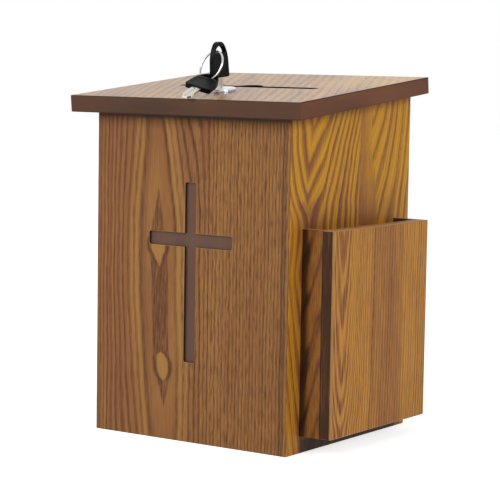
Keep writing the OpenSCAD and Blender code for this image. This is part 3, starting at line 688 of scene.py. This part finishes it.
    def make_all(self):
        """Makes every finish of the box."""
        wood, metal = self.wood, self.metal
        self.veneer("front_veneer", wood.front_light, wood.front_red, XZ, self.front_figure, 1,
                    pores=(0.75, 15, 0.42, 0.7), broken=0.45, gap=1.7)
        self.veneer("side_veneer", wood.side_light, wood.side_red, YZ, self.side_figure, 2,
                    pores=(1.4, 8, 0.42, 0.4), specular=0.12, fibre=0.75, broken=0.5)
        self.veneer("pocket_veneer", wood.pocket_light, wood.pocket_red, YZ, self.pocket_figure, 3,
                    pores=(1.2, 30, 0.42, 0.8), specular=0.12, fibre=0.6, broken=0.6)
        self.veneer("end_veneer", wood.end_light, wood.end_red, XZ, self.end_figure, 4,
                    specular=0.1)
        self.veneer("lid_veneer", wood.lid_light, wood.lid_red, XY, self.lid_figure, 5,
                    roughness=0.33, specular=0.42, broken=0.7, lean=LID_LEAN)
        self.veneer("pocket_edge_veneer", wood.arris, wood.pocket_edge, XZ,
                    self.pocket_edge_figure, 8, specular=0.1)
        self.plain_wood("edge_x", wood.edge, 0.45, ZX, specular=0.12, stray=1.0)
        self.plain_wood("edge_y", wood.side_edge_painted_light, 0.45, ZY, specular=0.12, stray=1.0)
        self.plain_wood("cross_floor", wood.recess, 0.45, XZ, contrast=0.6)
        # The cross's walls at a quarter of its floor's tone: painted shade inside the recess.
        self.plain_wood("cross_wall_painted_shade", toned(wood.recess, 0.25), 0.5, XZ)
        # The lid's arrises at half the edges' tone; on the arrises that face down this is painted
        # shade.
        self.plain_wood("dark_arris", toned(wood.edge, 0.5), 0.5, ZX, specular=0.1)
        # The walls of the slot and the lock hole are near black: painted shade inside the narrow
        # openings.
        self.plain_wood("slot_wall_painted_shade", toned(wood.recess, 0.12), 0.6, XZ, specular=0.05)
        # Painted highlight on arrises and top edges.
        self.plain_wood("arris_painted_highlight", wood.arris, 0.5, XZ)
        # Painted shade for the inside faces of the card pocket.
        self.plain_wood("hollow_painted_shade", wood.hollow, 0.5, YZ)
        self.plain_wood("inside_wood", wood.inside, 0.62, XZ)
        self.plain_wood("inside_side_wood", wood.inside, 0.62, YZ)
        self.plain_wood("spline_wood", wood.spline, 0.6, XZ)
        self.metal_finish("chrome", metal.chrome, 0.1, 0.08, 0.05)
        self.metal_finish("zinc_steel", metal.zinc, 0.32)
        self.metal_finish("brass", metal.brass, 0.28)
        self.metal_finish("nickel", metal.nickel, 0.26)
        self.metal_finish("ring_steel", metal.ring, 0.16)
        self.moulded("black_plastic", metal.plastic, 0.33)


def alone(piece):
    """Leaves one object selected and active."""
    if bpy.context.mode != "OBJECT":
        bpy.ops.object.mode_set(mode="OBJECT")
    bpy.ops.object.select_all(action="DESELECT")
    piece.select_set(True)
    bpy.context.view_layer.objects.active = piece


def copied(node, name):
    """A clean copy of a CAD node: doubles merged and flat faces joined."""
    piece = bpy.data.objects.new(name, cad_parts[node].data.copy())
    piece.data.name = name
    piece.data.materials.clear()
    bpy.context.scene.collection.objects.link(piece)
    alone(piece)
    bpy.ops.object.mode_set(mode="EDIT")
    bpy.ops.mesh.customdata_custom_splitnormals_clear()
    bpy.ops.mesh.select_all(action="SELECT")
    bpy.ops.mesh.remove_doubles(threshold=0.000002)
    bpy.ops.mesh.dissolve_limited(angle_limit=math.radians(0.4))
    bpy.ops.object.mode_set(mode="OBJECT")
    return piece


def rounded(piece, width, segments, wanted):
    """Rounds the edges for which wanted(middle, angle in degrees) holds."""
    alone(piece)
    bpy.ops.object.mode_set(mode="EDIT")
    bpy.ops.mesh.select_mode(type="EDGE")
    bpy.ops.mesh.select_all(action="DESELECT")
    mesh = bmesh.from_edit_mesh(piece.data)
    for edge in mesh.edges:
        if len(edge.link_faces) != 2:
            continue
        angle = math.degrees(edge.calc_face_angle(0))
        a, b = (v.co for v in edge.verts)
        if angle > ANY_EDGE and wanted((a + b) / 2, angle):
            edge.select = True
    mesh.select_flush_mode()
    bmesh.update_edit_mesh(piece.data)
    bpy.ops.mesh.bevel(offset=width, segments=segments, affect="EDGES", clamp_overlap=True)
    bpy.ops.object.mode_set(mode="OBJECT")


def paint(piece, base, *rules):
    """Gives each face the base finish, or that of the last rule (finish, test) that holds."""
    finishes = Finishes.of(bpy.context.scene).made
    for name in (base, *(rule[0] for rule in rules)):
        piece.data.materials.append(finishes[name])
    for face in piece.data.polygons:
        for number, (name, holds) in enumerate(rules, 1):
            if holds(face.center, face.normal):
                face.material_index = number


def settle(piece, node, body, angle=32):
    """Smooth shading with crisp edges; puts the piece under its body and hides its CAD node."""
    alone(piece)
    bpy.ops.object.shade_smooth_by_angle(angle=math.radians(angle))
    bpy.ops.object.modifier_add(type="WEIGHTED_NORMAL")
    piece.modifiers[-1].keep_sharp = True
    bpy.ops.object.modifier_apply(modifier=piece.modifiers[-1].name)
    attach(piece, body)
    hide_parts(node)


def one_finish(node, name, body, finish, width=0, least=SQUARE, segments=2, angle=32):
    """A piece in one finish, with the edges that turn by more than least rounded to a width."""
    piece = copied(node, name)
    if width:
        rounded(piece, width, segments, lambda middle, turn: turn > least)
    paint(piece, finish)
    settle(piece, node, body, angle)


def on_lid(point):
    """A point in the lid's own directions: across, up the slope, and out of its underside."""
    corner = Vector((0, FRONT_FACE, FRONT_HEIGHT * MM))
    return Matrix.Rotation(-LID_SLOPE, 3, "X") @ (Vector(point) - corner)


def at_cross(point):
    """Whether a point lies by the cross on the front."""
    half_width, low, high = 0.05, 0.06, 0.24
    return (abs(point.x) < half_width and low < point.z < high
            and point.y < FRONT_FACE + CROSS_DEPTH)


def at_slot(point):
    """Whether a point lies in the letter slot or the lock's hole, well inside the lid's outline."""
    half_width, near, far = 0.1, 0.01, 0.19
    across, along, _ = on_lid(point)
    return abs(across) < half_width and near < along < far


def on_cross_rim(middle, angle):
    """Whether an edge is the rim of the cross, in the front's face."""
    return angle > SQUARE and at_cross(middle) and abs(middle.y - FRONT_FACE) < SAME


def on_slot_rim(middle, angle):
    """Whether an edge is the rim of the slot or the lock's hole, in the lid's top."""
    level = on_lid(middle).z - LID_THICKNESS * MM
    return angle > SQUARE and at_slot(middle) and abs(level) < SAME


def outer_arris(middle, angle):
    """Whether an edge belongs to the blunt arrises that the mitres and the lid's slope leave."""
    return 25 < angle < 65


class Step:
    """What the operators share."""

    bl_options = {"REGISTER", "UNDO"}


class BOX_OT_walls(Step, bpy.types.Operator):
    """Veneer the four walls, cut the cross's rim and finish the bottom"""

    bl_idname = "box.walls"
    bl_label = "Case walls"

    def execute(self, context):
        wood = context.scene.box_wood
        front = copied("front_panel", "front_board")
        rounded(front, wood.arris_width, 2, outer_arris)
        rounded(front, wood.cross_arris, 2, on_cross_rim)
        skin, rim, floor = (FRONT_FACE + d for d in (ARRIS_DEPTH, RIM_DEPTH, CROSS_DEPTH))
        # The cross's rim gets a painted highlight, and its walls painted shade.
        paint(front, "inside_wood",
              ("front_veneer", lambda m, n: n.y < -TURNED and m.y < skin),
              ("arris_painted_highlight", lambda m, n: -0.95 < n.y < -0.2 and at_cross(m) and m.y < rim),
              ("cross_wall_painted_shade", lambda m, n: at_cross(m) and m.y > rim - 0.0001 and n.y > -0.5),
              ("cross_floor", lambda m, n: n.y < -STRAIGHT and skin < m.y < floor))
        settle(front, "front_panel", "case")
        back = copied("back_panel", "back_board")
        rounded(back, wood.arris_width, 2, outer_arris)
        paint(back, "inside_wood",
              ("front_veneer", lambda m, n: n.y > TURNED and m.y > BACK_FACE - ARRIS_DEPTH))
        settle(back, "back_panel", "case")
        skin = SIDE_FACE - ARRIS_DEPTH
        for side, node in ((1, "right_panel"), (-1, "left_panel")):
            board = copied(node, node.replace("panel", "board"))
            rounded(board, wood.arris_width, 2, outer_arris)
            paint(board, "inside_side_wood",
                  ("side_veneer", lambda m, n, s=side: n.x * s > TURNED and m.x * s > skin))
            settle(board, node, "case")
        one_finish("bottom_panel", "bottom_board", "case", "inside_wood")
        return {"FINISHED"}


class BOX_OT_joinery(Step, bpy.types.Operator):
    """Finish the corner splines and the dowels of the bottom"""

    bl_idname = "box.joinery"
    bl_label = "Case joinery"

    def execute(self, context):
        for node, name in (("corner_splines", "corner_spline_strips"),
                           ("bottom_dowels", "bottom_dowel_pins")):
            one_finish(node, name, "case", "spline_wood")
        return {"FINISHED"}


class BOX_OT_pocket(Step, bpy.types.Operator):
    """Veneer the card pocket and finish its screws"""

    bl_idname = "box.pocket"
    bl_label = "Card pocket"

    def execute(self, context):
        panel = copied("pocket_panel", "pocket_board")
        rounded(panel, context.scene.box_wood.arris_width, 2, outer_arris)
        # Top faces and outward arrises get a painted highlight, the inside face painted shade.
        paint(panel, "pocket_edge_veneer",
              ("edge_y", lambda m, n: n.z < -0.7),
              ("pocket_veneer", lambda m, n: n.x > TURNED),
              ("hollow_painted_shade", lambda m, n: n.x < -STRAIGHT),
              ("arris_painted_highlight", lambda m, n: n.z > TURNED or TURNED < n.x < 0.95))
        settle(panel, "pocket_panel", "case")
        for node, name in (("pocket_front_end", "pocket_front_board"),
                           ("pocket_rear_end", "pocket_rear_board"),
                           ("pocket_bottom", "pocket_bottom_strip")):
            piece = copied(node, name)
            # Inside faces get painted shade, top faces a painted highlight.
            paint(piece, "hollow_painted_shade",
                  ("end_veneer", lambda m, n: n.y * m.y > 0 and abs(n.y) > STRAIGHT),
                  ("arris_painted_highlight", lambda m, n: n.z > STRAIGHT))
            settle(piece, node, "case")
        one_finish("pocket_screws", "pocket_screw_set", "case", "zinc_steel")
        return {"FINISHED"}


class BOX_OT_lid(Step, bpy.types.Operator):
    """Veneer the lid and ease the rims of its slot and hole"""

    bl_idname = "box.lid"
    bl_label = "Lid"

    def execute(self, context):
        wood = context.scene.box_wood
        lid = copied("lid_panel", "lid_board")
        rounded(lid, wood.arris_width, 2, outer_arris)
        rounded(lid, wood.slot_arris, 2, on_slot_rim)
        # The walls of the slot carry painted shade, and so do the arrises that face down.
        paint(lid, "edge_x",
              ("edge_y", lambda m, n: abs(n.x) > 0.5),
              ("dark_arris", lambda m, n: 0.2 < n.z < 0.97 or -STRAIGHT < n.z < -TURNED),
              ("slot_wall_painted_shade", lambda m, n: at_slot(m) and n.z < STRAIGHT),
              ("lid_veneer", lambda m, n: n.z > 0.98),
              ("inside_wood", lambda m, n: n.z < -STRAIGHT))
        settle(lid, "lid_panel", "lid")
        return {"FINISHED"}


class BOX_OT_hinges(Step, bpy.types.Operator):
    """Finish the leaves, the pins and the screws of the two hinges"""

    bl_idname = "box.hinges"
    bl_label = "Hinges"

    def execute(self, context):
        for side in ("left", "right"):
            for part, body in (("_hinge_body_leaf", "case"), ("_hinge_lid_leaf", "lid"),
                               ("_hinge_pin", "case")):
                one_finish(side + part, side + part.replace("hinge", "butt"), body, "zinc_steel",
                           width=0.00015, least=BLUNT)
        for node, body in (("hinge_body_screws", "case"), ("hinge_lid_screws", "lid")):
            one_finish(node, node.replace("screws", "screw_set"), body, "zinc_steel")
        return {"FINISHED"}


class BOX_OT_strike(Step, bpy.types.Operator):
    """Finish the strike behind the front and its screws"""

    bl_idname = "box.strike"
    bl_label = "Strike"

    def execute(self, context):
        one_finish("strike_plate", "strike_angle", "case", "zinc_steel", width=0.0002)
        one_finish("strike_screws", "strike_screw_set", "case", "zinc_steel")
        return {"FINISHED"}


class BOX_OT_lock(Step, bpy.types.Operator):
    """Finish the cam lock: face, washer, nut, cylinder, cam and screw"""

    bl_idname = "box.lock"
    bl_label = "Lock"

    def execute(self, context):
        for node, name, body, finish, slot, width in (
            ("lock_body", "lock_face", "lid", "chrome", "chrome_plate", 0.0003),
            ("lock_washer", "lock_toothed_washer", "lid", "zinc_steel", "zinc_steel", 0),
            ("lock_nut", "lock_hex_nut", "lid", "brass", "brass", 0.0003),
            ("lock_plug", "lock_cylinder", "plug", "chrome", "chrome_plate", 0.0002),
            ("lock_cam", "lock_tongue", "plug", "zinc_steel", "zinc_steel", 0.0002),
            ("lock_cam_screw", "lock_tongue_screw", "plug", "zinc_steel", "zinc_steel", 0),
        ):
            one_finish(node, name, body, finish, width, EASED)
        return {"FINISHED"}


def make_key(prefix, body):
    """The moulded head and the plated blade of one key."""
    one_finish(prefix + "key_head", prefix + "key_grip", body, "black_plastic",
               width=bpy.context.scene.box_metal.head_round, segments=3)
    one_finish(prefix + "key_blade", prefix + "key_shank", body, "nickel")


class BOX_OT_standing_key(Step, bpy.types.Operator):
    """Mould the key that stands in the lock"""

    bl_idname = "box.standing_key"
    bl_label = "Key"

    def execute(self, context):
        make_key("", "key")
        return {"FINISHED"}


class BOX_OT_ring(Step, bpy.types.Operator):
    """Finish the key ring"""

    bl_idname = "box.ring"
    bl_label = "Key ring"

    def execute(self, context):
        one_finish("key_ring", "split_ring", "ring", "ring_steel", angle=60)
        return {"FINISHED"}


class BOX_OT_hanging_key(Step, bpy.types.Operator):
    """Mould the key that hangs from the ring"""

    bl_idname = "box.hanging_key"
    bl_label = "Hanging key"

    def execute(self, context):
        make_key("spare_", "spare_key")
        return {"FINISHED"}


def add_lamp(name, place, size, power, target=(0, 0, 0.15)):
    bpy.ops.object.light_add(type="AREA", location=place)
    lamp = bpy.context.object
    lamp.name = name
    lamp.data.shape = "RECTANGLE"
    lamp.data.size, lamp.data.size_y = size
    lamp.data.energy = power
    lamp.rotation_euler = (Vector(target) - Vector(place)).to_track_quat("-Z", "Y").to_euler()


def seen_rays(w):
    """One for the camera's, the mirrors' and the glass's rays, zero for the light's."""
    path = w.node("ShaderNodeLightPath").outputs
    plain = w.math("ADD", path["Is Camera Ray"], path["Is Glossy Ray"])
    return w.math("ADD", plain, path["Is Transmission Ray"], clamp=True)


def photo_turn():
    """The camera's turn, from its yaw, pitch and roll in degrees."""
    yaw, pitch, roll = (math.radians(a) for a in PHOTO_ANGLES)
    level = Vector((math.cos(yaw), math.sin(yaw), 0))
    flat = math.cos(pitch)
    forward = Vector((-math.sin(yaw) * flat, math.cos(yaw) * flat, -math.sin(pitch)))
    below = forward.cross(level)
    right = level * math.cos(roll) + below * math.sin(roll)
    down = below * math.cos(roll) - level * math.sin(roll)
    return Matrix((right, -down, -forward)).transposed().to_euler()


class BOX_OT_stage(Step, bpy.types.Operator):
    """Set the floor, the light and the camera"""

    bl_idname = "box.stage"
    bl_label = "Stage"

    def execute(self, context):
        stage = context.scene.box_stage
        finishes = Finishes.of(context.scene)
        bpy.ops.mesh.primitive_plane_add(size=12, location=(0, 0, 0))
        floor = bpy.context.object
        floor.name = "floor"
        w, shader = finishes.start("floor_paint", 0.9)
        marks = w.group(finishes.handling, scuff_size=40, smear_size=900)
        tone = w.mix(marks["Smear"] * 0.1, stage.floor, toned(stage.floor, 0.97))
        w.feed(shader.inputs["Base Color"], tone)
        w.feed(shader.inputs["Emission Color"], w.mix(seen_rays(w), (0, 0, 0), FLOOR_GLOW))
        shader.inputs["Emission Strength"].default_value = 1
        floor.data.materials.append(finishes.made["floor_paint"])
        world = bpy.data.worlds.new("studio")
        context.scene.world = world
        world.use_nodes = True
        w = Wiring(world.node_tree)
        back = next(n for n in world.node_tree.nodes if n.type == "BACKGROUND")
        w.feed(back.inputs["Color"], w.mix(seen_rays(w), (stage.ambient,) * 3, (1, 1, 1)))
        back.inputs["Strength"].default_value = 1
        add_lamp("key_light", (-0.8, -2.0, 1.4), size=(1.4, 0.8), power=stage.key_power)
        add_lamp("side_light", (2.3, -0.6, 1.1), size=(1.2, 0.9), power=stage.side_power)
        context.scene.view_settings.view_transform = "Standard"
        bpy.ops.object.camera_add(location=PHOTO_PLACE, rotation=photo_turn())
        camera = bpy.context.object
        camera.name = "photo_camera"
        camera.data.sensor_width = 36
        camera.data.lens = stage.lens
        camera.data.clip_start, camera.data.clip_end = 0.05, 50
        context.scene.camera = camera
        return {"FINISHED"}


OPERATORS = (BOX_OT_walls, BOX_OT_joinery, BOX_OT_pocket, BOX_OT_lid, BOX_OT_hinges, BOX_OT_strike,
             BOX_OT_lock, BOX_OT_standing_key, BOX_OT_ring, BOX_OT_hanging_key, BOX_OT_stage)


class BOX_PT_panel(bpy.types.Panel):
    """Lists the box's pieces in the sidebar"""

    bl_idname = "BOX_PT_panel"
    bl_label = "Prayer request box"
    bl_space_type = "VIEW_3D"
    bl_region_type = "UI"
    bl_category = "Request box"

    def draw(self, context):
        for made in OPERATORS:
            self.layout.operator(made.bl_idname)


GROUPS = {"box_wood": BoxWood, "box_metal": BoxMetal, "box_stage": BoxStage}


def register():
    for kind in (*GROUPS.values(), *OPERATORS, BOX_PT_panel):
        bpy.utils.register_class(kind)
    for name, kind in GROUPS.items():
        setattr(bpy.types.Scene, name, PointerProperty(type=kind))


def unregister():
    for name in GROUPS:
        delattr(bpy.types.Scene, name)
    for kind in (BOX_PT_panel, *reversed(OPERATORS), *GROUPS.values()):
        bpy.utils.unregister_class(kind)


def main():
    register()
    bpy.ops.box.walls()
    bpy.ops.box.joinery()
    bpy.ops.box.pocket()
    bpy.ops.box.lid()
    bpy.ops.box.hinges()
    bpy.ops.box.strike()
    bpy.ops.box.lock()
    bpy.ops.box.standing_key()
    bpy.ops.box.ring()
    bpy.ops.box.hanging_key()
    bpy.ops.box.stage()


if __name__ == "__main__":
    main()
